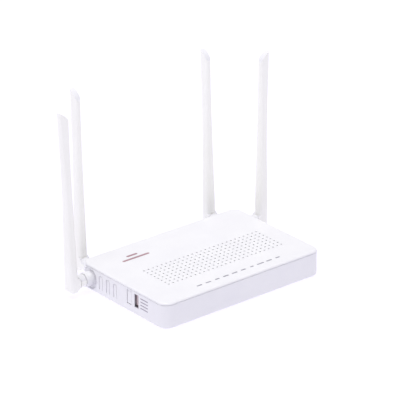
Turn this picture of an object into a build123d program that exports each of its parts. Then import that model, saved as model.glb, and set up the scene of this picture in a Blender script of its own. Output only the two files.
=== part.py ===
from build123d import *
import os

# Optical network terminal with four fold-and-swivel Wi-Fi antennas.
# Millimetres. Origin: centre of the flat underside of the case. +X right, +Y rear, +Z up.
# The front wall faces -Y, the sockets are on the rear wall (+Y), the USB port on the left wall (-X).

os.makedirs("parts", exist_ok=True)

# ---------------------------------------------------------------- driving dimensions
WIDTH = 180.0
DEPTH = 120.0
HEIGHT = 25.0
CORNER_R = 9.3
WALL = 2.0
FLOOR_T = 2.0
PART_Z = 22.6  # top of the tub's wall
GROOVE = 0.5  # shadow groove between the tub and the cover
LID_T = 2.0
BEVEL = 1.6
TOP_FILLET = 1.8

HALF_W = WIDTH / 2
HALF_D = DEPTH / 2

# vent field in the cover: round holes on a square grid
VENT_PITCH = 5.0
VENT_COLS = 27
VENT_ROWS = 8
VENT_R = 0.85
VENT_X = 4.5
VENT_Y = -11.5

# indicator windows along the front of the cover
LAMP_COUNT = 10
LAMP_PITCH = 10.0
LAMP_X = 3.7
LAMP_Y = -48.0
LAMP_W = 1.9
LAMP_LENGTHS = [6.0, 6.0, 5.0, 6.4, 6.4, 5.6, 4.0, 8.0, 6.4, 5.0]

# circuit board
BOARD_Z = 5.0
BOARD_T = 1.6
BOARD_TOP = BOARD_Z + BOARD_T
BOARD_X = 80.0
BOARD_Y0 = -53.0
BOARD_Y1 = 46.0
BOARD_REAR_X = 62.0  # the board runs on under the sockets between the antenna seats
BOARD_REAR_Y = 56.0

# antenna hinge, distances measured outwards from the wall's face along the swivel axis
SEAT_Z = 12.0
SEAT_R = 10.5
SEAT_DEPTH = 2.6
SEAT_BACK = 6.0
BOSS_R = 6.6
BOSS_END = 7.0
STEM_R = 3.5
RUN = 0.05  # radial clearance of a running fit
NECK_START = 7.3
PIVOT_OUT = 20.2
NECK_R = 6.0
NECK_STOP = 6.2  # how far short of the pivot the neck's shoulders end
CUP_R = 7.75
KNUCKLE_R = 7.4
FOOT_DOWN = 7.0
FOOT_R = 3.6
TONGUE_R = 3.8
TONGUE_ARM = 3.2
TONGUE_T = 4.2
SLOT_GAP = 0.3
SLOT_T = TONGUE_T + 0.2
PIN_R = 1.25
PIN_L = 7.8  # closed in by the blade at both ends
STEM_IN = 9.0  # inner end of the stem, behind the wall's face
WASHER_T = 1.2
LEAD_BORE_R = 1.2

# antenna blade sections: height above the pivot, radial depth, tangential width, outward shift
BLADE = [
    (-7.0, 10.4, 10.4, 0.0),
    (28.0, 10.0, 9.5, 0.4),
    (68.0, 8.6, 8.0, 0.8),
    (108.0, 8.2, 6.7, 1.4),
    (138.0, 9.0, 5.7, 2.1),
    (166.5, 10.3, 5.0, 2.5),
]
# rounded cut of the tip in the side plane: inner shoulder, middle of the curve, outer point
TIP_CUT = [(-3.0, 153.6), (0.9, 161.5), (8.2, 165.6)]
TIP_TOP = 176.0
BOARD_LOW = 22.0
BOARD_HIGH = 142.0

SIDE_SEAT_Y = 47.2
REAR_SEAT_X = 75.0
# name, seat centre on the wall's face, outward direction, lean outwards at rest in degrees
ANTENNAS = [
    ("left", (-HALF_W, SIDE_SEAT_Y, SEAT_Z), (-1, 0, 0), 0.8),
    ("rear_left", (-REAR_SEAT_X, HALF_D, SEAT_Z), (0, 1, 0), 0.0),
    ("rear_right", (REAR_SEAT_X, HALF_D, SEAT_Z), (0, 1, 0), 0.8),
    ("right", (HALF_W, SIDE_SEAT_Y, SEAT_Z), (1, 0, 0), 0.0),
]

# left wall
USB_Y = -20.4
USB_Z = 14.3
USB_W = 5.7
USB_H = 12.9
BLANK_Y = -10.1
BLANK_W = 7.0
BLANK_H = 13.6
RIB_YS = [31.0, 20.7, 10.4]
RIB_W = 3.6
GROOVE_W = 5.8
RIB_Z0 = 6.0
RIB_Z1 = 19.8
RIB_DEPTH = 1.1

# rear wall, seen from above with -X first
LAN_W = 15.2
LAN_H = 12.8
LAN_Z = BOARD_TOP + LAN_H / 2
LAN_PITCH = 16.4
LAN_XS = [-29.0 + LAN_PITCH * i for i in range(4)]
PHONE_X = 38.5
PHONE_W = 12.6
PHONE_H = 11.4
FIBRE_X = 54.0
FIBRE_W = 12.8
FIBRE_H = 9.4
FIBRE_Z = BOARD_TOP + FIBRE_H / 2
JACK_Z = BOARD_TOP + 5.2
POWER_X = -56.0
SWITCH_X = -44.0
PORT_BACK = 42.0  # inner end of the sockets
PORT_FACE = HALF_D - 0.4

# right wall buttons
KEY_YS = [8.0, -6.0]
KEY_R = 3.0
KEY_Z = 13.0
KEY_FLANGE_R = 3.9
RESET_Y = -18.0

# screws and feet
POSTS = [(-76.0, -34.0), (76.0, -34.0), (-62.0, 36.0), (66.0, 34.0)]
POST_R = 3.6
POST_TOP = 9.9
SCREW_R = 1.1
HEAD_R = 2.5
FEET = [(-74.0, -46.0), (74.0, -46.0), (-74.0, 44.0), (74.0, 44.0)]
FOOT_PAD_R = 6.0
FOOT_PAD_T = 1.6
FOOT_SINK = 0.6
WALL_SLOT_X = 40.0
WALL_SLOT_Y = 0.0
WALL_SLOT_L = 9.0
WALL_SLOT_R = 2.2


def save(part, name):
    """Label a finished piece and write it to its own file."""
    part.part.label = name
    export_step(part.part, "parts/" + name + ".step")


def facing(point, outward):
    """Plane on a wall: local Z points outwards, local Y points up."""
    along = Vector(0, 0, 1).cross(Vector(*outward))
    return Plane(origin=point, x_dir=along, z_dir=Vector(*outward))


LEFT_WALL = Plane(origin=(-HALF_W, 0, 0), x_dir=(0, -1, 0), z_dir=(-1, 0, 0))
RIGHT_WALL = Plane(origin=(HALF_W, 0, 0), x_dir=(0, 1, 0), z_dir=(1, 0, 0))
REAR_WALL = Plane(origin=(0, HALF_D, 0), x_dir=(-1, 0, 0), z_dir=(0, 1, 0))
PORT_PLANE = REAR_WALL.offset(PORT_FACE - HALF_D)


# ---------------------------------------------------------------- bottom case
with BuildPart() as bottom_case:
    with BuildSketch():
        RectangleRounded(WIDTH, DEPTH, CORNER_R)
    extrude(amount=PART_Z)
    chamfer(bottom_case.faces().sort_by(Axis.Z)[0].edges(), BEVEL)
    with BuildSketch(Plane.XY.offset(FLOOR_T)):
        RectangleRounded(WIDTH - 2 * WALL, DEPTH - 2 * WALL, CORNER_R - WALL)
    extrude(amount=PART_Z, mode=Mode.SUBTRACT)
    # thick pads behind the antenna seats, kept inside the outer outline
    for name, seat, outward, lean in ANTENNAS:
        with BuildSketch(facing(seat, outward).offset(-SEAT_BACK)):
            Rectangle(2 * SEAT_R + 1.0, 2 * (SEAT_Z - FLOOR_T + 0.6))
        extrude(amount=SEAT_BACK)
    with BuildSketch(Plane.XY):
        RectangleRounded(WIDTH, DEPTH, CORNER_R)
    extrude(amount=PART_Z, mode=Mode.INTERSECT)
    # posts for the case screws and for the board
    with BuildSketch(Plane.XY.offset(FLOOR_T - 0.5)):
        with Locations(*POSTS):
            Circle(POST_R)
    extrude(amount=POST_TOP - FLOOR_T + 0.5)
    with BuildSketch(Plane.XY.offset(FLOOR_T - 0.5)):
        with Locations(*[(x * 0.87, y * 0.75) for x, y in POSTS], (0, -40), (0, 20)):
            Circle(2.4)
    extrude(amount=BOARD_Z - FLOOR_T + 0.5)
    # antenna seats: round recess, raised boss and its bore
    for name, seat, outward, lean in ANTENNAS:
        face = facing(seat, outward)
        with BuildSketch(face):
            Circle(SEAT_R)
        extrude(amount=-SEAT_DEPTH, mode=Mode.SUBTRACT)
        with BuildSketch(face.offset(-SEAT_DEPTH)):
            Circle(BOSS_R)
        extrude(amount=SEAT_DEPTH + BOSS_END)
        with BuildSketch(face.offset(BOSS_END)):
            Circle(STEM_R + RUN)
        extrude(amount=-(BOSS_END + SEAT_BACK + 1), mode=Mode.SUBTRACT)
    # ribs on both side walls, each with an arched groove round it
    for wall, y in [(LEFT_WALL, -y) for y in RIB_YS] + [(RIGHT_WALL, -32.0), (RIGHT_WALL, -42.0)]:
        for width, top, amount, mode in ((GROOVE_W, RIB_Z1, -RIB_DEPTH, Mode.SUBTRACT),
                                         (RIB_W, RIB_Z1 - 1.1, RIB_DEPTH - 0.05, Mode.ADD)):
            with BuildSketch(wall.offset(0 if mode == Mode.SUBTRACT else -RIB_DEPTH)):
                with BuildLine():
                    Polyline((y - width / 2, top - width / 2), (y - width / 2, RIB_Z0),
                             (y + width / 2, RIB_Z0), (y + width / 2, top - width / 2))
                    ThreePointArc((y + width / 2, top - width / 2), (y, top),
                                  (y - width / 2, top - width / 2))
                make_face()
            extrude(amount=amount, mode=mode)
        middle = wall.from_local_coords((y, 12.0, 0.0))
        outer = bottom_case.faces().sort_by(lambda f: (f.center() - middle).length)
        fillet(outer[0].edges().filter_by(lambda e: e.center().Z > RIB_Z0 + 0.1), 0.7)
    # left wall: USB opening and blanked opening
    with BuildSketch(LEFT_WALL):
        with Locations((-USB_Y, USB_Z)):
            Rectangle(USB_W, USB_H)
        with Locations((-BLANK_Y, USB_Z)):
            Rectangle(BLANK_W, BLANK_H)
    extrude(amount=-WALL - 1, mode=Mode.SUBTRACT)
    # rear wall: socket openings
    with BuildSketch(REAR_WALL):
        with Locations(*[(-x, LAN_Z) for x in LAN_XS]):
            Rectangle(LAN_W + 0.4, LAN_H + 0.4)
        with Locations((-PHONE_X, BOARD_TOP + PHONE_H / 2)):
            Rectangle(PHONE_W + 0.4, PHONE_H + 0.4)
        with Locations((-FIBRE_X, FIBRE_Z)):
            Rectangle(FIBRE_W + 0.4, FIBRE_H + 0.4)
        with Locations((-POWER_X, JACK_Z)):
            Circle(4.4)
        with Locations((-SWITCH_X, JACK_Z)):
            Rectangle(8.0, 8.0)
    extrude(amount=-WALL - 1, mode=Mode.SUBTRACT)
    # right wall: key holes and pinhole
    with BuildSketch(RIGHT_WALL):
        with Locations(*[(y, KEY_Z) for y in KEY_YS]):
            Circle(KEY_R + 0.3)
        with Locations((RESET_Y, KEY_Z)):
            Circle(0.9)
    extrude(amount=-WALL - 1, mode=Mode.SUBTRACT)
    # underside: screw holes, foot recesses, wall slots and air slots
    with BuildSketch(Plane.XY):
        with Locations(*POSTS):
            Circle(SCREW_R + 0.3)
    extrude(amount=POST_TOP + 1, mode=Mode.SUBTRACT)
    with BuildSketch(Plane.XY):
        with Locations(*POSTS):
            Circle(HEAD_R + 0.3)
    extrude(amount=4.0, mode=Mode.SUBTRACT)
    with BuildSketch(Plane.XY):
        with Locations(*FEET):
            Circle(FOOT_PAD_R + 0.2)
    extrude(amount=FOOT_SINK, mode=Mode.SUBTRACT)
    with BuildSketch(Plane.XY):
        with Locations((-WALL_SLOT_X, WALL_SLOT_Y), (WALL_SLOT_X, WALL_SLOT_Y)):
            SlotOverall(WALL_SLOT_L, 2 * WALL_SLOT_R)
        with Locations((0, -28)):
            with GridLocations(9.0, 7.0, 7, 2):
                SlotOverall(6.0, 1.8)
    extrude(amount=FLOOR_T + 0.5, mode=Mode.SUBTRACT)
save(bottom_case, "bottom_case")

# ---------------------------------------------------------------- top cover
LID_Z = PART_Z + GROOVE
with BuildPart() as top_cover:
    with BuildSketch(Plane.XY.offset(LID_Z)):
        RectangleRounded(WIDTH, DEPTH, CORNER_R)
    extrude(amount=HEIGHT - LID_Z)
    fillet(top_cover.faces().sort_by(Axis.Z)[-1].edges(), TOP_FILLET)
    # rim that closes the groove and a lip that drops inside the tub
    with BuildSketch(Plane.XY.offset(PART_Z)):
        RectangleRounded(WIDTH - 1.2, DEPTH - 1.2, CORNER_R - 0.6)
    extrude(amount=GROOVE)
    with BuildSketch(Plane.XY.offset(PART_Z)):
        RectangleRounded(WIDTH - 14.0, DEPTH - 14.0, 3.0)
    extrude(amount=-1.4)
    with BuildSketch(Plane.XY.offset(PART_Z - 1.4)):
        RectangleRounded(WIDTH - 17.0, DEPTH - 17.0, 2.0)
    extrude(amount=HEIGHT - LID_T - PART_Z + 1.4, mode=Mode.SUBTRACT)
    # screw posts
    with BuildSketch(Plane.XY.offset(HEIGHT - LID_T)):
        with Locations(*POSTS):
            Circle(3.0)
    extrude(amount=-(HEIGHT - LID_T - POST_TOP - 0.05))
    with BuildSketch(Plane.XY.offset(POST_TOP)):
        with Locations(*POSTS):
            Circle(SCREW_R + 0.02)
    extrude(amount=9.0, mode=Mode.SUBTRACT)
    # vent field
    with BuildSketch(Plane.XY.offset(HEIGHT)):
        with Locations((VENT_X, VENT_Y)):
            with GridLocations(VENT_PITCH, VENT_PITCH, VENT_COLS, VENT_ROWS):
                Circle(VENT_R)
    extrude(amount=-LID_T - 0.5, mode=Mode.SUBTRACT)
    # indicator openings
    with BuildSketch(Plane.XY.offset(HEIGHT)):
        for i, length in enumerate(LAMP_LENGTHS):
            with Locations((LAMP_X + LAMP_PITCH * (i - (LAMP_COUNT - 1) / 2), LAMP_Y)):
                SlotOverall(length, LAMP_W)
    extrude(amount=-LID_T - 0.5, mode=Mode.SUBTRACT)
save(top_cover, "top_cover")

# ---------------------------------------------------------------- indicator light guides
with BuildPart() as light_guides:
    with BuildSketch(Plane.XY.offset(HEIGHT - 0.12)):
        for i, length in enumerate(LAMP_LENGTHS):
            with Locations((LAMP_X + LAMP_PITCH * (i - (LAMP_COUNT - 1) / 2), LAMP_Y)):
                SlotOverall(length - 0.1, LAMP_W - 0.1)
    extrude(amount=-(HEIGHT - 0.12 - BOARD_TOP - 1.3))
    # carrier bar and its two legs
    with BuildSketch(Plane.XY.offset(14.0)):
        with Locations((LAMP_X, LAMP_Y)):
            Rectangle(LAMP_PITCH * LAMP_COUNT + 4.0, 2.6)
    extrude(amount=1.8)
    with BuildSketch(Plane.XY.offset(BOARD_TOP)):
        with Locations((LAMP_X, LAMP_Y)):
            with GridLocations(LAMP_PITCH * LAMP_COUNT + 1.4, 1, 2, 1):
                Rectangle(2.6, 2.6)
    extrude(amount=8.0)
save(light_guides, "light_guides")

with BuildPart() as lamp_emitters:
    with BuildSketch(Plane.XY.offset(BOARD_TOP)):
        with Locations((LAMP_X, LAMP_Y)):
            with GridLocations(LAMP_PITCH, 1, LAMP_COUNT, 1):
                Rectangle(2.0, 1.25)
    extrude(amount=0.8)
save(lamp_emitters, "lamp_emitters")

# ---------------------------------------------------------------- printed patches on the case
with BuildPart() as cover_mark:
    with BuildSketch(Plane.XY.offset(HEIGHT)):
        with Locations((-48.5, 33.0)):
            SlotOverall(30.0, 2.6)
        with Locations((-48.5, 39.0)):
            SlotOverall(12.0, 2.6)
    extrude(amount=0.05)
save(cover_mark, "cover_mark")

with BuildPart() as side_mark:
    with BuildSketch(LEFT_WALL):
        for i in range(4):
            with Locations((31.2, 9.6 + 3.1 * i)):
                Rectangle(10.4, 1.0)
    extrude(amount=0.05)
save(side_mark, "side_mark")

# ---------------------------------------------------------------- circuit board and what it carries
with BuildPart() as circuit_board:
    with BuildSketch(Plane.XY.offset(BOARD_Z)):
        with Locations((0, (BOARD_Y0 + BOARD_Y1) / 2)):
            Rectangle(2 * BOARD_X, BOARD_Y1 - BOARD_Y0)
        with Locations((0, (BOARD_Y1 + BOARD_REAR_Y) / 2)):
            Rectangle(2 * BOARD_REAR_X, BOARD_REAR_Y - BOARD_Y1)
        with Locations(*POSTS):
            Circle(POST_R + 0.9, mode=Mode.SUBTRACT)
        with Locations((-WALL_SLOT_X, WALL_SLOT_Y), (WALL_SLOT_X, WALL_SLOT_Y)):
            Circle(6.0, mode=Mode.SUBTRACT)
    extrude(amount=BOARD_T)
save(circuit_board, "circuit_board")


def block(name, x, y, w, d, h, z=BOARD_TOP, soften=0.3):
    """Rectangular component standing on the board, with its top edges eased."""
    with BuildPart() as item:
        with BuildSketch(Plane.XY.offset(z)):
            with Locations((x, y)):
                Rectangle(w, d)
        extrude(amount=h)
        fillet(item.faces().sort_by(Axis.Z)[-1].edges(), soften)
    save(item, name)


block("processor", 0, -2, 17, 17, 1.4)
with BuildPart() as heat_sink:
    with BuildSketch(Plane.XY.offset(BOARD_TOP + 1.4)):
        with Locations((0, -2)):
            Rectangle(28, 28)
    extrude(amount=2.0)
    with BuildSketch(Plane.XY.offset(BOARD_TOP + 3.4)):
        with Locations((0, -2)):
            with GridLocations(3.2, 1, 9, 1):
                Rectangle(1.0, 28)
    extrude(amount=7.0)
save(heat_sink, "heat_sink")

with BuildPart() as memory_chips:
    with BuildSketch(Plane.XY.offset(BOARD_TOP)):
        with Locations((24, 4), (24, -12)):
            Rectangle(11, 9)
    extrude(amount=1.1)
save(memory_chips, "memory_chips")

with BuildPart() as shield_cans:
    with BuildSketch(Plane.XY.offset(BOARD_TOP)):
        with Locations((-60, 2), (60, 6)):
            Rectangle(22, 18)
    extrude(amount=2.6)
    fillet(shield_cans.faces().sort_by(Axis.Z)[-2:].edges(), 0.5)
save(shield_cans, "shield_cans")

with BuildPart() as lan_transformers:
    with BuildSketch(Plane.XY.offset(BOARD_TOP)):
        with Locations((-18, 32), (8, 32)):
            Rectangle(17, 8)
    extrude(amount=5.5)
save(lan_transformers, "lan_transformers")

with BuildPart() as capacitors:
    with BuildSketch(Plane.XY.offset(BOARD_TOP)):
        with Locations((-46, 32), (-36, 25), (44, 30)):
            Circle(3.2)
    extrude(amount=11.5)
    fillet(capacitors.faces().sort_by(Axis.Z)[-3:].edges(), 0.5)
save(capacitors, "capacitors")

with BuildPart() as power_coil:
    with BuildSketch(Plane.XY.offset(BOARD_TOP)):
        with Locations((-46, 18)):
            RectangleRounded(9, 9, 2)
    extrude(amount=4.5)
save(power_coil, "power_coil")

# ---------------------------------------------------------------- optical module, pigtail and adapter
block("optical_module", 54, -18, 24, 10, 6.0)
with BuildPart() as fibre_pigtail:
    with BuildLine():
        FilletPolyline((54, -13, BOARD_TOP + 4.2), (54, -8, BOARD_TOP + 4.2), (47, 8, BOARD_TOP + 4.8),
                       (47, 24, FIBRE_Z), (54, 33, FIBRE_Z), (54, 36.9, FIBRE_Z), radius=3.0)
    with BuildSketch(Plane(origin=(54, -13, BOARD_TOP + 4.2), z_dir=(0, 1, 0))):
        Circle(0.45)
    sweep(transition=Transition.ROUND)
save(fibre_pigtail, "fibre_pigtail")

with BuildPart() as fibre_adapter:
    with BuildSketch(PORT_PLANE):
        with Locations((-FIBRE_X, FIBRE_Z)):
            RectangleRounded(FIBRE_W, FIBRE_H, 0.6)
    extrude(amount=-22.0)
    with BuildSketch(PORT_PLANE):
        with Locations((-FIBRE_X, FIBRE_Z)):
            Rectangle(9.4, 7.4)
        with Locations((-FIBRE_X, FIBRE_Z + 3.7)):
            Rectangle(3.0, 1.2)
    extrude(amount=-14.0, mode=Mode.SUBTRACT)
    with BuildSketch(PORT_PLANE.offset(-14.0)):
        with Locations((-FIBRE_X, FIBRE_Z)):
            Circle(2.2)
            Circle(1.3, mode=Mode.SUBTRACT)
    extrude(amount=8.0)
save(fibre_adapter, "fibre_adapter")

# ---------------------------------------------------------------- sockets on the rear wall
with BuildPart() as lan_sockets:
    for x in LAN_XS:
        with BuildSketch(PORT_PLANE):
            with Locations((-x, BOARD_TOP + LAN_H / 2)):
                Rectangle(LAN_W, LAN_H)
        extrude(amount=-(PORT_FACE - PORT_BACK))
        with BuildSketch(PORT_PLANE):
            with Locations((-x, BOARD_TOP + 7.4)):
                Rectangle(11.8, 6.8)
            with Locations((-x, BOARD_TOP + 3.2)):
                Rectangle(6.2, 2.2)
            with Locations((-x, BOARD_TOP + 1.7)):
                Rectangle(4.0, 1.6)
        extrude(amount=-13.0, mode=Mode.SUBTRACT)
save(lan_sockets, "lan_sockets")

with BuildPart() as lan_contacts:
    for x in LAN_XS:
        with BuildSketch(Plane.XY.offset(BOARD_TOP + 9.6)):
            with Locations((x, PORT_FACE - 8.5)):
                with GridLocations(1.02, 1, 8, 1):
                    Rectangle(0.4, 9.0)
        extrude(amount=1.2)
save(lan_contacts, "lan_contacts")

with BuildPart() as phone_socket:
    with BuildSketch(PORT_PLANE):
        with Locations((-PHONE_X, BOARD_TOP + PHONE_H / 2)):
            Rectangle(PHONE_W, PHONE_H)
    extrude(amount=-(PORT_FACE - PORT_BACK))
    with BuildSketch(PORT_PLANE):
        with Locations((-PHONE_X, BOARD_TOP + 6.6)):
            Rectangle(9.8, 6.6)
        with Locations((-PHONE_X, BOARD_TOP + 2.6)):
            Rectangle(5.0, 1.8)
    extrude(amount=-12.0, mode=Mode.SUBTRACT)
save(phone_socket, "phone_socket")

with BuildPart() as power_inlet:
    with BuildSketch(PORT_PLANE):
        with Locations((-POWER_X, JACK_Z)):
            Circle(4.2)
    extrude(amount=-3.0)
    with BuildSketch(PORT_PLANE.offset(-3.0)):
        with Locations((-POWER_X, JACK_Z)):
            Rectangle(9.0, 10.4)
    extrude(amount=-11.0)
    with BuildSketch(PORT_PLANE):
        with Locations((-POWER_X, JACK_Z)):
            Circle(3.15)
    extrude(amount=-10.0, mode=Mode.SUBTRACT)
save(power_inlet, "power_inlet")

with BuildPart() as power_inlet_pin:
    with BuildSketch(PORT_PLANE.offset(-10.0)):
        with Locations((-POWER_X, JACK_Z)):
            Circle(1.0)
    extrude(amount=8.6)
    fillet(power_inlet_pin.faces().sort_by(Axis.Y)[-1].edges(), 0.5)
save(power_inlet_pin, "power_inlet_pin")

# ---------------------------------------------------------------- power switch and its button
with BuildPart() as power_switch:
    with BuildSketch(REAR_WALL.offset(-9.0)):
        with Locations((-SWITCH_X, JACK_Z)):
            Rectangle(8.4, 10.4)
    extrude(amount=-8.0)
    with BuildSketch(REAR_WALL.offset(-9.0)):
        with Locations((-SWITCH_X, JACK_Z)):
            Rectangle(3.3, 3.3)
    extrude(amount=-5.0, mode=Mode.SUBTRACT)
save(power_switch, "power_switch")

with BuildPart() as power_button:
    with BuildSketch(REAR_WALL.offset(3.2)):
        with Locations((-SWITCH_X, JACK_Z)):
            RectangleRounded(7.2, 7.2, 1.2)
    extrude(amount=-8.6)
    fillet(power_button.faces().sort_by(Axis.Y)[-1].edges(), 0.8)
    with BuildSketch(REAR_WALL.offset(-5.0)):
        with Locations((-SWITCH_X, JACK_Z)):
            Rectangle(2.7, 2.7)
    extrude(amount=-5.5)
save(power_button, "power_button")

# ---------------------------------------------------------------- keys on the right wall
for label, y in zip(("wps_button", "wifi_button"), KEY_YS):
    with BuildPart() as key:
        with BuildSketch(RIGHT_WALL.offset(0.9)):
            with Locations((y, KEY_Z)):
                Circle(KEY_R)
        extrude(amount=-4.4)
        fillet(key.faces().sort_by(Axis.X)[-1].edges(), 0.6)
        # flange that keeps the key in the wall
        with BuildSketch(RIGHT_WALL.offset(-2.35)):
            with Locations((y, KEY_Z)):
                Circle(KEY_FLANGE_R)
        extrude(amount=-0.9)
    save(key, label)

with BuildPart() as key_switches:
    with BuildSketch(RIGHT_WALL.offset(-4.6)):
        with Locations((KEY_YS[0], KEY_Z), (KEY_YS[1], KEY_Z), (RESET_Y, KEY_Z)):
            Rectangle(6.0, 6.0)
    extrude(amount=-4.5)
    with BuildSketch(Plane.XY.offset(BOARD_TOP)):
        with Locations(*[(HALF_W - 12.6, y) for y in (*KEY_YS, RESET_Y)]):
            Rectangle(7.2, 6.0)
    extrude(amount=KEY_Z + 3.0 - BOARD_TOP)
save(key_switches, "key_switches")

# ---------------------------------------------------------------- USB port and blanking insert
with BuildPart() as usb_shell:
    with BuildSketch(LEFT_WALL.offset(-0.3)):
        with Locations((-USB_Y, USB_Z)):
            Rectangle(USB_W - 0.2, USB_H - 0.2)
    extrude(amount=-14.0)
    with BuildSketch(LEFT_WALL.offset(-0.3)):
        with Locations((-USB_Y, USB_Z)):
            Rectangle(USB_W - 0.9, USB_H - 0.9)
    extrude(amount=-13.4, mode=Mode.SUBTRACT)
    # legs soldered to the board
    with BuildSketch(Plane.XY.offset(BOARD_TOP)):
        with Locations((-HALF_W + 12.6, USB_Y)):
            with GridLocations(1, USB_W - 1.0, 1, 2):
                Rectangle(2.4, 0.7)
    extrude(amount=USB_Z - USB_H / 2 - BOARD_TOP + 0.2)
save(usb_shell, "usb_shell")

with BuildPart() as usb_tongue:
    with BuildSketch(LEFT_WALL.offset(-13.7)):
        with Locations((-USB_Y, USB_Z)):
            Rectangle(USB_W - 0.9, USB_H - 0.9)
    extrude(amount=2.0)
    with BuildSketch(LEFT_WALL.offset(-11.7)):
        with Locations((-USB_Y - 1.3, USB_Z)):
            Rectangle(1.9, USB_H - 2.2)
    extrude(amount=9.4)
save(usb_tongue, "usb_tongue")

with BuildPart() as blanking_insert:
    with BuildSketch(LEFT_WALL.offset(-0.4)):
        with Locations((-BLANK_Y, USB_Z)):
            Rectangle(BLANK_W - 1.5, BLANK_H - 1.5)
    extrude(amount=-1.2)
    with BuildSketch(LEFT_WALL.offset(-WALL)):
        with Locations((-BLANK_Y, USB_Z)):
            Rectangle(BLANK_W + 2.0, BLANK_H + 1.0)
    extrude(amount=-1.0)
    with BuildSketch(LEFT_WALL.offset(-1.4)):
        with Locations((-BLANK_Y, USB_Z)):
            Rectangle(BLANK_W - 1.5, BLANK_H - 1.5)
    extrude(amount=-1.0)
save(blanking_insert, "blanking_insert")

# ---------------------------------------------------------------- screws, feet and rating plate
with BuildPart() as case_screws:
    for x, y in POSTS:
        with BuildSketch(Plane(origin=(x, y, 1.4))):
            Circle(HEAD_R)
        extrude(amount=2.6)
        with BuildSketch(Plane(origin=(x, y, 4.0))):
            Circle(SCREW_R)
        extrude(amount=12.0)
        with BuildSketch(Plane(origin=(x, y, 1.4))):
            Rectangle(3.2, 0.7)
            Rectangle(0.7, 3.2)
        extrude(amount=1.2, mode=Mode.SUBTRACT)
save(case_screws, "case_screws")

with BuildPart() as rubber_feet:
    with BuildSketch(Plane.XY.offset(FOOT_SINK - FOOT_PAD_T)):
        with Locations(*FEET):
            Circle(FOOT_PAD_R)
    extrude(amount=FOOT_PAD_T)
    fillet(rubber_feet.faces().sort_by(Axis.Z)[:4].edges(), 0.5)
save(rubber_feet, "rubber_feet")

with BuildPart() as rating_plate:
    with BuildSketch(Plane.XY):
        with Locations((0, 34)):
            RectangleRounded(70, 30, 2.0)
    extrude(amount=-0.15)
save(rating_plate, "rating_plate")


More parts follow.
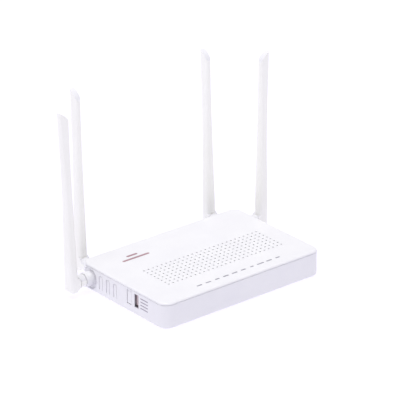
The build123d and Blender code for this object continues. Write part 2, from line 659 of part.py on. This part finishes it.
# ---------------------------------------------------------------- antennas
def make_antenna(name, seat, outward, lean):
    """One antenna: swivel stem, washer, hinge pin, hollow blade and the board inside it."""
    face = facing(seat, outward)
    out = Vector(*outward)
    up = Vector(0, 0, 1)
    along = up.cross(out)
    pivot = Vector(*seat) + out * PIVOT_OUT
    # side plane through the pivot: local X outwards, local Y up, local Z against the tangent
    side = Plane(origin=pivot, x_dir=out, z_dir=out.cross(up))
    reach = TONGUE_ARM + SLOT_GAP

    with BuildPart() as stem:
        with BuildSketch(face.offset(-STEM_IN)):
            Circle(STEM_R)
        extrude(amount=STEM_IN + NECK_START)
        with BuildSketch(face.offset(NECK_START)):
            Circle(NECK_R)
        extrude(amount=PIVOT_OUT - NECK_STOP - NECK_START)
        fillet(stem.edges().filter_by(GeomType.CIRCLE).filter_by(lambda e: e.radius > STEM_R + 1)
               .sort_by(lambda e: (e.center() - Vector(*seat)).dot(out))[0], 0.6)
        with BuildSketch(side.offset(-NECK_R - 1)):
            Circle(CUP_R)
        extrude(amount=2 * NECK_R + 2, mode=Mode.SUBTRACT)
        with BuildSketch(side.offset(-TONGUE_T / 2)):
            Circle(TONGUE_R)
            with Locations((-CUP_R / 2 - 0.6, 0)):
                Rectangle(CUP_R + 1.2, 2 * TONGUE_ARM)
        extrude(amount=TONGUE_T)
        with BuildSketch(side.offset(-TONGUE_T)):
            Circle(PIN_R + RUN)
        extrude(amount=2 * TONGUE_T, mode=Mode.SUBTRACT)
        # bore for the lead
        with BuildSketch(face.offset(-STEM_IN)):
            Circle(LEAD_BORE_R)
        extrude(amount=STEM_IN + 9.0, mode=Mode.SUBTRACT)
    save(stem, name + "_stem")

    with BuildPart() as washer:
        with BuildSketch(face.offset(-SEAT_BACK - 0.15)):
            Circle(5.6)
            Circle(STEM_R, mode=Mode.SUBTRACT)
        extrude(amount=-WASHER_T)
    save(washer, name + "_washer")

    tilt = Plane(origin=pivot, x_dir=out.rotate(Axis((0, 0, 0), along), lean),
                 z_dir=up.rotate(Axis((0, 0, 0), along), lean))
    tilt_side = Plane(origin=pivot, x_dir=tilt.x_dir, z_dir=out.cross(up))

    with BuildPart() as blade:
        for height, radial, width, shift in BLADE:
            with BuildSketch(tilt.offset(height)):
                with Locations((shift, 0)):
                    RectangleRounded(radial, width, 0.36 * min(radial, width))
        loft()
        # rounded lower end
        with BuildSketch(tilt_side.offset(-6)):
            with BuildLine():
                Polyline((-6, -FOOT_DOWN), (-6, TIP_TOP), (8, TIP_TOP), (8, -FOOT_DOWN), close=True)
            make_face()
            with Locations((BLADE[0][1] / 2, -FOOT_DOWN)):
                Rectangle(2 * FOOT_R, 2 * FOOT_R, mode=Mode.SUBTRACT)
            with Locations((-BLADE[0][1] / 2, -FOOT_DOWN)):
                Rectangle(2 * FOOT_R, 2 * FOOT_R, mode=Mode.SUBTRACT)
            with Locations((BLADE[0][1] / 2 - FOOT_R, -FOOT_DOWN + FOOT_R),
                           (-BLADE[0][1] / 2 + FOOT_R, -FOOT_DOWN + FOOT_R)):
                Circle(FOOT_R)
        extrude(amount=12, mode=Mode.INTERSECT)
        # knuckle on the inner side
        with BuildSketch(tilt_side.offset(-BLADE[0][2] / 2 + 0.3)):
            Circle(KNUCKLE_R)
            with Locations((KNUCKLE_R, 0)):
                Rectangle(2 * KNUCKLE_R, 4 * KNUCKLE_R, mode=Mode.SUBTRACT)
        extrude(amount=BLADE[0][2] - 0.6)
        # rounded tip, high on the outer side
        with BuildSketch(tilt_side.offset(-6)):
            with BuildLine():
                ThreePointArc(*TIP_CUT)
                Polyline(TIP_CUT[2], (9, TIP_CUT[2][1]), (9, TIP_TOP), (-9, TIP_TOP), (-9, TIP_CUT[0][1]),
                         TIP_CUT[0])
            make_face()
        extrude(amount=12, mode=Mode.SUBTRACT)
        # slot for the tongue, pin hole
        with BuildSketch(tilt_side.offset(-SLOT_T / 2)):
            Circle(TONGUE_R + SLOT_GAP)
            with Locations((-8, reach / 2 - 4)):
                Rectangle(16, 8 + reach)
            with Locations((reach / 2 - 4, -8)):
                Rectangle(8 + reach, 16)
        extrude(amount=SLOT_T, mode=Mode.SUBTRACT)
        with BuildSketch(tilt_side.offset(-PIN_L / 2)):
            Circle(PIN_R)
        extrude(amount=PIN_L, mode=Mode.SUBTRACT)
        # cavity for the antenna board
        with BuildSketch(tilt.offset(BOARD_LOW)):
            with Locations((0.3, 0)):
                Rectangle(5.4, 3.0)
        with BuildSketch(tilt.offset(BOARD_HIGH)):
            with Locations((2.1, 0)):
                Rectangle(5.4, 2.0)
        loft(ruled=True, mode=Mode.SUBTRACT)
    save(blade, name + "_blade")

    with BuildPart() as pin:
        with BuildSketch(tilt_side.offset(-PIN_L / 2)):
            Circle(PIN_R)
        extrude(amount=PIN_L)
    save(pin, name + "_pin")

    with BuildPart() as radiator:
        with BuildSketch(tilt.offset(BOARD_LOW)):
            with Locations((0.3, 0)):
                Rectangle(4.8, 0.8)
        with BuildSketch(tilt.offset(BOARD_HIGH - 3)):
            with Locations((2.05, 0)):
                Rectangle(4.8, 0.8)
        loft(ruled=True)
    save(radiator, name + "_radiator")


for name, seat, outward, lean in ANTENNAS:
    make_antenna(name, seat, outward, lean)
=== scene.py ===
import math

import bmesh
import bpy
from mathutils import Matrix, Vector


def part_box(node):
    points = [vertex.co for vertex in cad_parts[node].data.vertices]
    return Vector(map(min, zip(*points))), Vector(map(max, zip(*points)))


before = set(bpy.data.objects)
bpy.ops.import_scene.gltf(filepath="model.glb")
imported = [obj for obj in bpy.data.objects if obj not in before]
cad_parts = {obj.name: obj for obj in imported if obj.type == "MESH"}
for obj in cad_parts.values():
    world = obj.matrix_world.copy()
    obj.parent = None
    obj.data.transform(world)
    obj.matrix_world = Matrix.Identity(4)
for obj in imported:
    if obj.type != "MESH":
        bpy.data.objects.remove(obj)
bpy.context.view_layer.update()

bl_info = {
    "name": "Optical Network Terminal",
    "version": (1, 0, 0),
    "blender": (4, 5, 0),
    "location": "View3D > Sidebar > Terminal",
    "description": "Dresses a white fibre terminal with four folding antennas",
    "category": "Object",
}

MM = 0.001
ANTENNAS = ("left", "rear_left", "rear_right", "right")

# size of the soft clouds of tone in a finish, and the part of them that the two tones are spread over
CLOUD_MM = 25
TONE_SPAN = (0.35, 0.65)
# light goes this far into the white mouldings of the case
DEPTH_OF_LIGHT = (1.5 * MM, 1.5 * MM, 1.5 * MM)
# unit that the circuit board's tracks are laid out on
TRACK_UNIT_MM = 6
# how far up a face of an antenna looks when painted shade starts to turn its white greyer, and when it
# is fully so
PAINTED_SHADE_SPAN = (0.2, 0.45)

# stage: the softboxes' places and sides, the point they face, the surround's white, the camera's sensor
TOP_PLACE, TOP_SIDE = (-0.2, 0.1, 2.4), 1.6
LEFT_PLACE, LEFT_SIDE = (-2.0, -0.2, 0.9), 1.2
LIGHT_AIM = Vector((0, 0, 0.05))
SURROUND = "F9F7FC"
SENSOR_MM = 36.0


# ---------------------------------------------------------------- small helpers
def linear(code, alpha=1.0):
    """Linear RGBA of an sRGB hex code such as F4F3F7."""
    parts = [int(code[i:i + 2], 16) / 255 for i in (0, 2, 4)]
    return (*[c / 12.92 if c <= 0.04045 else ((c + 0.055) / 1.055) ** 2.4 for c in parts], alpha)


def add(tree, kind, links=(), **settings):
    """Add one node, set its properties and sockets by name, and link (socket, output) pairs into it."""
    node = tree.nodes.new(kind)
    for key, value in settings.items():
        if hasattr(node, key):
            setattr(node, key, value)
        else:
            node.inputs[key.replace("_", " ")].default_value = value
    for socket, output in links:
        tree.links.new(output, node.inputs[socket])
    return node


def new_material(name):
    """Empty node material, and its tree with the surface output in place."""
    material = bpy.data.materials.new(name)
    material.use_nodes = True
    tree = material.node_tree
    tree.nodes.clear()
    out = tree.nodes.new("ShaderNodeOutputMaterial")
    return material, tree, out


def surface(name, tones, grain_mm, depth_mm, roughness, spread=0.05, **sockets):
    """Opaque surface whose tone, gloss and relief vary with a grain of a real size."""
    material, tree, out = new_material(name)
    place = add(tree, "ShaderNodeTexCoord")
    cloud = add(tree, "ShaderNodeTexNoise", [("Vector", place.outputs["Object"])],
                Scale=1 / (CLOUD_MM * MM), Detail=4.0)
    grain = add(tree, "ShaderNodeTexNoise", [("Vector", place.outputs["Object"])],
                Scale=1 / (grain_mm * MM), Detail=5.0, Roughness=0.6)
    tone = add(tree, "ShaderNodeValToRGB", [("Fac", cloud.outputs["Fac"])])
    for stop, place_on_ramp, code in zip(tone.color_ramp.elements, TONE_SPAN, tones):
        stop.position = place_on_ramp
        stop.color = linear(code)
    gloss = add(tree, "ShaderNodeMapRange", [("Value", grain.outputs["Fac"])],
                To_Min=roughness - spread, To_Max=roughness + spread)
    relief = add(tree, "ShaderNodeBump", [("Height", grain.outputs["Fac"])],
                 Distance=depth_mm * MM, Strength=1.0)
    shader = add(tree, "ShaderNodeBsdfPrincipled",
                 [("Base Color", tone.outputs["Color"]), ("Roughness", gloss.outputs["Result"]),
                  ("Normal", relief.outputs["Normal"])], **sockets)
    tree.links.new(shader.outputs["BSDF"], out.inputs["Surface"])
    return material


def dress(material, *nodes):
    """Give CAD nodes this material in every slot."""
    for name in nodes:
        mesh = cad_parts[name].data
        mesh.materials.clear()
        mesh.materials.append(material)


# ---------------------------------------------------------------- finishes
def satin_abs(look):
    """ABS, injection moulded against a spark-eroded tool: a fine even grain that blurs highlights."""
    # a real grain is about 0.1 mm, too fine to show, so it is drawn at 0.45 mm
    return surface("moulded_abs_satin", (look.shade, look.white), 0.45, 0.010, look.satin_roughness,
                   IOR=1.54, Subsurface_Weight=0.2, Subsurface_Radius=DEPTH_OF_LIGHT,
                   Subsurface_Scale=1.0)


def cover_abs(look):
    """ABS, moulded against a finer tool than the tub: soft broad reflections with a slight waviness."""
    return surface("moulded_abs_fine", (look.shade, look.white), 0.6, 0.004, look.cover_roughness,
                   spread=0.03, IOR=1.54, Coat_Weight=0.15, Coat_Roughness=0.25,
                   Subsurface_Weight=0.3, Subsurface_Radius=DEPTH_OF_LIGHT, Subsurface_Scale=1.0)


def antenna_abs(look):
    """ABS, moulded with draw-polished faces: a fine even grain in tone, gloss and relief."""
    material = surface("moulded_abs_blade", (look.blade_shade, look.blade), 0.5, 0.006,
                       look.satin_roughness, spread=0.04, IOR=1.54)
    tree = material.node_tree
    place = tree.nodes["Texture Coordinate"]
    white = tree.nodes["Color Ramp"]
    shader = tree.nodes["Principled BSDF"]
    # painted shade: faces that look up, above all a blade's cut end, are painted a greyer white against
    # the overhead light, so that their outlines show
    facing = add(tree, "ShaderNodeSeparateXYZ", [("Vector", place.outputs["Normal"])])
    upward = add(tree, "ShaderNodeMapRange", [("Value", facing.outputs["Z"])],
                 From_Min=PAINTED_SHADE_SPAN[0], From_Max=PAINTED_SHADE_SPAN[1])
    tone = add(tree, "ShaderNodeMixRGB",
               [("Fac", upward.outputs["Result"]), ("Color1", white.outputs["Color"])],
               Color2=linear(look.blade_painted_shade))
    tree.links.new(tone.outputs["Color"], shader.inputs["Base Color"])
    return material


def smoked_polycarbonate():
    """Smoke-tinted polycarbonate, polished: the dark glossy ends of the light guides."""
    return surface("polished_polycarbonate_smoke", ("9C9CA6", "A8A8B2"), 3.0, 0.002, 0.16, IOR=1.58)


def pad_print(code_dark, code_light):
    """Pad-printed ink: a thin matt film whose edge and tone break up slightly."""
    return surface("pad_printed_ink_" + code_dark, (code_dark, code_light), 0.4, 0.004, 0.55)


def solder_mask():
    """Epoxy glass board under solder mask: green gloss over faint copper tracks."""
    material, tree, out = new_material("screened_solder_mask_green")
    place = add(tree, "ShaderNodeTexCoord")
    # tracks 1.5 mm apart with a link every 3 mm, drawn as the edges of cells
    tracks = add(tree, "ShaderNodeTexBrick", [("Vector", place.outputs["Object"])],
                 Scale=1 / (TRACK_UNIT_MM * MM), Mortar_Size=0.03, Color1=linear("0E5A2C"),
                 Color2=linear("0A4A26"), Mortar=linear("23793F"))
    relief = add(tree, "ShaderNodeBump", [("Height", tracks.outputs["Fac"])], Distance=0.03 * MM,
                 Strength=0.6)
    shader = add(tree, "ShaderNodeBsdfPrincipled",
                 [("Base Color", tracks.outputs["Color"]), ("Normal", relief.outputs["Normal"])],
                 Roughness=0.32, IOR=1.5, Coat_Weight=0.4, Coat_Roughness=0.15)
    tree.links.new(shader.outputs["BSDF"], out.inputs["Surface"])
    return material


def metal(name, tones, grain_mm, roughness, depth_mm=0.006):
    """Metal with a grain in its gloss; the default IOR is kept."""
    return surface(name, tones, grain_mm, depth_mm, roughness, spread=0.08, Metallic=1.0)


def moulded(name, tones, roughness=0.4, grain_mm=0.5, depth_mm=0.008, ior=1.5, **sockets):
    """Small moulded polymer piece."""
    return surface(name, tones, grain_mm, depth_mm, roughness, IOR=ior, **sockets)


# ---------------------------------------------------------------- settings
class TerminalCase(bpy.types.PropertyGroup):
    """Colours and gloss of the white mouldings."""

    white: bpy.props.StringProperty(
        name="White", description="Main white of the mouldings, sRGB hex", default="EFEFF1")
    shade: bpy.props.StringProperty(
        name="Shade", description="Second, slightly greyer white, sRGB hex", default="ECECEF")
    blade: bpy.props.StringProperty(
        name="Blade white", description="Main white of the antennas, sRGB hex", default="FCFCF8")
    blade_shade: bpy.props.StringProperty(
        name="Blade shade", description="Second white of the antennas, sRGB hex", default="FAFAF5")
    # painted shade: the greyer white painted on the antennas' faces that look up
    blade_painted_shade: bpy.props.StringProperty(
        name="Blade top", description="Greyer white of the antennas' upward faces, sRGB hex",
        default="E9E9EC")
    satin_roughness: bpy.props.FloatProperty(
        name="Tub roughness", description="Gloss of the grained tub and blades",
        default=0.42, min=0.05, max=0.9, subtype="FACTOR")
    cover_roughness: bpy.props.FloatProperty(
        name="Cover roughness", description="Gloss of the cover",
        default=0.34, min=0.05, max=0.9, subtype="FACTOR")


class TerminalStage(bpy.types.PropertyGroup):
    """Floor, lights and camera."""

    floor: bpy.props.StringProperty(
        name="Floor", description="Colour of the floor, sRGB hex", default="8A8A8C")
    floor_glow: bpy.props.StringProperty(
        name="Floor glow", description="Colour of the light under the floor, sRGB hex", default="F2EFFF")
    floor_strength: bpy.props.FloatProperty(
        name="Floor light", description="Strength of the light under the floor", default=0.88)
    floor_size: bpy.props.FloatProperty(
        name="Floor size", description="Side of the square floor", default=12.0, unit="LENGTH")
    sky: bpy.props.FloatProperty(
        name="Sky", description="Strength of the even white surround", default=0.66)
    key: bpy.props.FloatProperty(
        name="Overhead light", description="Power of the large softbox overhead", default=34.0)
    fill: bpy.props.FloatProperty(
        name="Side light", description="Power of the softbox on the left", default=2.0)
    camera_place: bpy.props.FloatVectorProperty(
        name="Camera", description="Where the camera stands",
        default=(-1.3959, -1.7124, 1.0593), unit="LENGTH")
    camera_aim: bpy.props.FloatVectorProperty(
        name="Aim", description="What the camera looks at",
        default=(0.0147, 0.0196, 0.0676), unit="LENGTH")
    camera_roll: bpy.props.FloatProperty(
        name="Roll", description="Camera roll about its line of sight",
        default=math.radians(-0.28), unit="ROTATION")
    lens: bpy.props.FloatProperty(
        name="Lens", description="Focal length in millimetres", default=245.0)


# ---------------------------------------------------------------- operators
class TERMINAL_OT_case(bpy.types.Operator):
    """Finish the tub, the cover and the blanked opening"""

    bl_idname = "terminal.case"
    bl_label = "Case"

    def execute(self, context):
        look = context.scene.terminal_case
        dress(satin_abs(look), "bottom_case", "blanking_insert")
        dress(cover_abs(look), "top_cover")
        return {"FINISHED"}


class TERMINAL_OT_indicators(bpy.types.Operator):
    """Finish the light guides, the lamps under them and the printed patches"""

    bl_idname = "terminal.indicators"
    bl_label = "Indicators and prints"

    def execute(self, context):
        dress(smoked_polycarbonate(), "light_guides")
        # clear epoxy dome on a white package
        dress(moulded("cast_epoxy_lamp", ("E9E4CC", "F2EEDC"), 0.2), "lamp_emitters")
        dress(pad_print("A8868E", "B4949A"), "cover_mark")
        dress(pad_print("A29CA8", "B0AAB6"), "side_mark")
        return {"FINISHED"}


class TERMINAL_OT_sockets(bpy.types.Operator):
    """Finish the sockets on the rear wall and the USB port"""

    bl_idname = "terminal.sockets"
    bl_label = "Sockets"

    def execute(self, context):
        # glass-filled nylon, moulded: near-black with a dry sheen
        dress(moulded("moulded_nylon_black", ("15151A", "202026"), 0.45), "lan_sockets", "power_inlet",
              "power_switch", "key_switches")
        # PBT, moulded: mid grey, smooth
        dress(moulded("moulded_pbt_grey", ("77777C", "85858A"), 0.42), "phone_socket")
        # SC adapter: green moulded PBT marks the angle-polished connector
        dress(moulded("moulded_pbt_green", ("0B6B3A", "108045"), 0.38), "fibre_adapter")
        # uncoloured nylon, moulded: off-white with a warm tint
        dress(moulded("moulded_nylon_natural", ("DCC8CA", "E6D4D6"), 0.4), "usb_tongue")
        # gold flash over nickel: warm and bright with a fine grain
        dress(metal("flash_plated_gold", ("D9A63C", "E6BC5C"), 0.3, 0.24), "lan_contacts")
        # tin-plated steel, rolled: grey with a cloudy gloss
        dress(metal("plated_tin_steel", ("9A9AA0", "B4B4BA"), 0.8, 0.3), "usb_shell", "power_inlet_pin")
        return {"FINISHED"}


class TERMINAL_OT_buttons(bpy.types.Operator):
    """Finish the power button and the two keys"""

    bl_idname = "terminal.buttons"
    bl_label = "Buttons"

    def execute(self, context):
        look = context.scene.terminal_case
        # ABS, moulded against a finer tool than the tub: the same white, a little glossier
        dress(moulded("moulded_abs_button", (look.shade, look.white), 0.36, ior=1.54),
              "power_button", "wps_button", "wifi_button")
        return {"FINISHED"}


class TERMINAL_OT_board(bpy.types.Operator):
    """Finish the circuit board and what stands on it"""

    bl_idname = "terminal.board"
    bl_label = "Circuit board"

    def execute(self, context):
        radiators = [name + "_radiator" for name in ANTENNAS]
        dress(solder_mask(), "circuit_board", *radiators)
        # transfer-moulded epoxy: matt black with a faint grit
        dress(moulded("moulded_epoxy_black", ("111113", "1C1C1F"), 0.6, grain_mm=0.3, depth_mm=0.02),
              "processor", "memory_chips", "lan_transformers")
        # anodised extrusion: pale grey with a soft even sheen
        dress(metal("anodised_aluminium", ("B9BBC0", "CBCDD1"), 0.5, 0.38), "heat_sink")
        # tin-plated steel, drawn: a brighter grey with broad soft highlights
        dress(metal("drawn_tin_steel", ("A5A5AA", "BCBCC0"), 1.2, 0.28), "shield_cans", "optical_module")
        # heat-shrunk PVC sleeve: near-black and shiny
        dress(moulded("shrunk_pvc_sleeve", ("0F1018", "1B1C26"), 0.25), "capacitors")
        # pressed and fired ferrite: dull dark grey with a fine grit
        dress(moulded("pressed_ferrite", ("2A2A2C", "38383B"), 0.7, grain_mm=0.4, depth_mm=0.03),
              "power_coil")
        # extruded PVC jacket: even yellow with a soft shine
        dress(moulded("extruded_pvc_yellow", ("D9B41C", "E6C634"), 0.35), "fibre_pigtail")
        return {"FINISHED"}


class TERMINAL_OT_underside(bpy.types.Operator):
    """Finish the feet, the screws and the blank rating plate"""

    bl_idname = "terminal.underside"
    bl_label = "Underside"

    def execute(self, context):
        # moulded rubber: matt, with the grit of its tool
        dress(moulded("moulded_rubber", ("8C8C90", "9A9A9E"), 0.8, grain_mm=0.8, depth_mm=0.05),
              "rubber_feet")
        # zinc-plated steel, cold headed: grey with a faint grain
        dress(metal("plated_zinc_steel", ("84868C", "A0A2A8"), 0.4, 0.35), "case_screws")
        # laminated film: a flat pale sheet, slightly glossy
        dress(moulded("laminated_film_label", ("DCDCE0", "E4E4E8"), 0.5, grain_mm=1.5), "rating_plate")
        return {"FINISHED"}


class TERMINAL_OT_antennas(bpy.types.Operator):
    """Finish the four antennas: blades, stems, washers and pins"""

    bl_idname = "terminal.antennas"
    bl_label = "Antennas"

    def execute(self, context):
        look = context.scene.terminal_case
        white = antenna_abs(look)
        # turned steel: bright grey with a fine grain
        steel = metal("turned_steel", ("8E9096", "A8AAB0"), 0.3, 0.32)
        for name in ANTENNAS:
            dress(white, name + "_blade", name + "_stem")
            dress(steel, name + "_washer", name + "_pin")
        return {"FINISHED"}


class TERMINAL_OT_stage(bpy.types.Operator):
    """Make the floor, the softboxes, the surround and the camera"""

    bl_idname = "terminal.stage"
    bl_label = "Stage"

    def execute(self, context):
        look = context.scene.terminal_stage
        scene = context.scene

        mesh = bpy.data.meshes.new("floor")
        shape = bmesh.new()
        bmesh.ops.create_grid(shape, x_segments=1, y_segments=1, size=look.floor_size / 2)
        shape.to_mesh(mesh)
        shape.free()
        floor = bpy.data.objects.new("floor", mesh)
        floor.location.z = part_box("rubber_feet")[0].z
        scene.collection.objects.link(floor)
        # cast acrylic lit from below: an even white that lightens shadows where the case stands
        mesh.materials.append(surface("cast_acrylic_backlit", (look.floor, look.floor), 2.0, 0.005, 0.7,
                                      Emission_Color=linear(look.floor_glow),
                                      Emission_Strength=look.floor_strength))

        world = bpy.data.worlds.new("surround")
        world.use_nodes = True
        back = world.node_tree.nodes["Background"]
        back.inputs["Color"].default_value = linear(SURROUND)
        back.inputs["Strength"].default_value = look.sky
        scene.world = world

        for name, place, side, power in (("softbox_top", TOP_PLACE, TOP_SIDE, look.key),
                                         ("softbox_left", LEFT_PLACE, LEFT_SIDE, look.fill)):
            light = bpy.data.lights.new(name, "AREA")
            light.shape = "SQUARE"
            light.size = side
            light.energy = power
            lamp = bpy.data.objects.new(name, light)
            lamp.location = place
            lamp.rotation_mode = "QUATERNION"
            lamp.rotation_quaternion = (LIGHT_AIM - Vector(place)).to_track_quat("-Z", "Y")
            scene.collection.objects.link(lamp)

        data = bpy.data.cameras.new("camera")
        data.sensor_width = SENSOR_MM
        data.lens = look.lens
        camera = bpy.data.objects.new("camera", data)
        place, aim = Vector(look.camera_place), Vector(look.camera_aim)
        turn = (aim - place).to_track_quat("-Z", "Y").to_matrix().to_4x4()
        roll = Matrix.Rotation(look.camera_roll, 4, "Z")
        camera.matrix_world = Matrix.Translation(place) @ turn @ roll
        scene.collection.objects.link(camera)
        scene.camera = camera
        scene.view_settings.view_transform = "Standard"
        return {"FINISHED"}


class TERMINAL_PT_panel(bpy.types.Panel):
    """Sidebar panel with the settings and the steps"""

    bl_label = "Terminal"
    bl_idname = "TERMINAL_PT_panel"
    bl_space_type = "VIEW_3D"
    bl_region_type = "UI"
    bl_category = "Terminal"

    def draw(self, context):
        for group in (context.scene.terminal_case, context.scene.terminal_stage):
            box = self.layout.box()
            for key in group.__annotations__:
                box.prop(group, key)
        for step in STEPS:
            self.layout.operator(step.bl_idname)


STEPS = (TERMINAL_OT_case, TERMINAL_OT_indicators, TERMINAL_OT_sockets, TERMINAL_OT_buttons,
         TERMINAL_OT_board, TERMINAL_OT_underside, TERMINAL_OT_antennas, TERMINAL_OT_stage)
CLASSES = (TerminalCase, TerminalStage, *STEPS, TERMINAL_PT_panel)


def register():
    for cls in CLASSES:
        bpy.utils.register_class(cls)
    bpy.types.Scene.terminal_case = bpy.props.PointerProperty(type=TerminalCase)
    bpy.types.Scene.terminal_stage = bpy.props.PointerProperty(type=TerminalStage)


def unregister():
    del bpy.types.Scene.terminal_stage
    del bpy.types.Scene.terminal_case
    for cls in reversed(CLASSES):
        bpy.utils.unregister_class(cls)


def main():
    register()
    for step in STEPS:
        group, name = step.bl_idname.split(".")
        getattr(getattr(bpy.ops, group), name)()


if __name__ == "__main__":
    main()
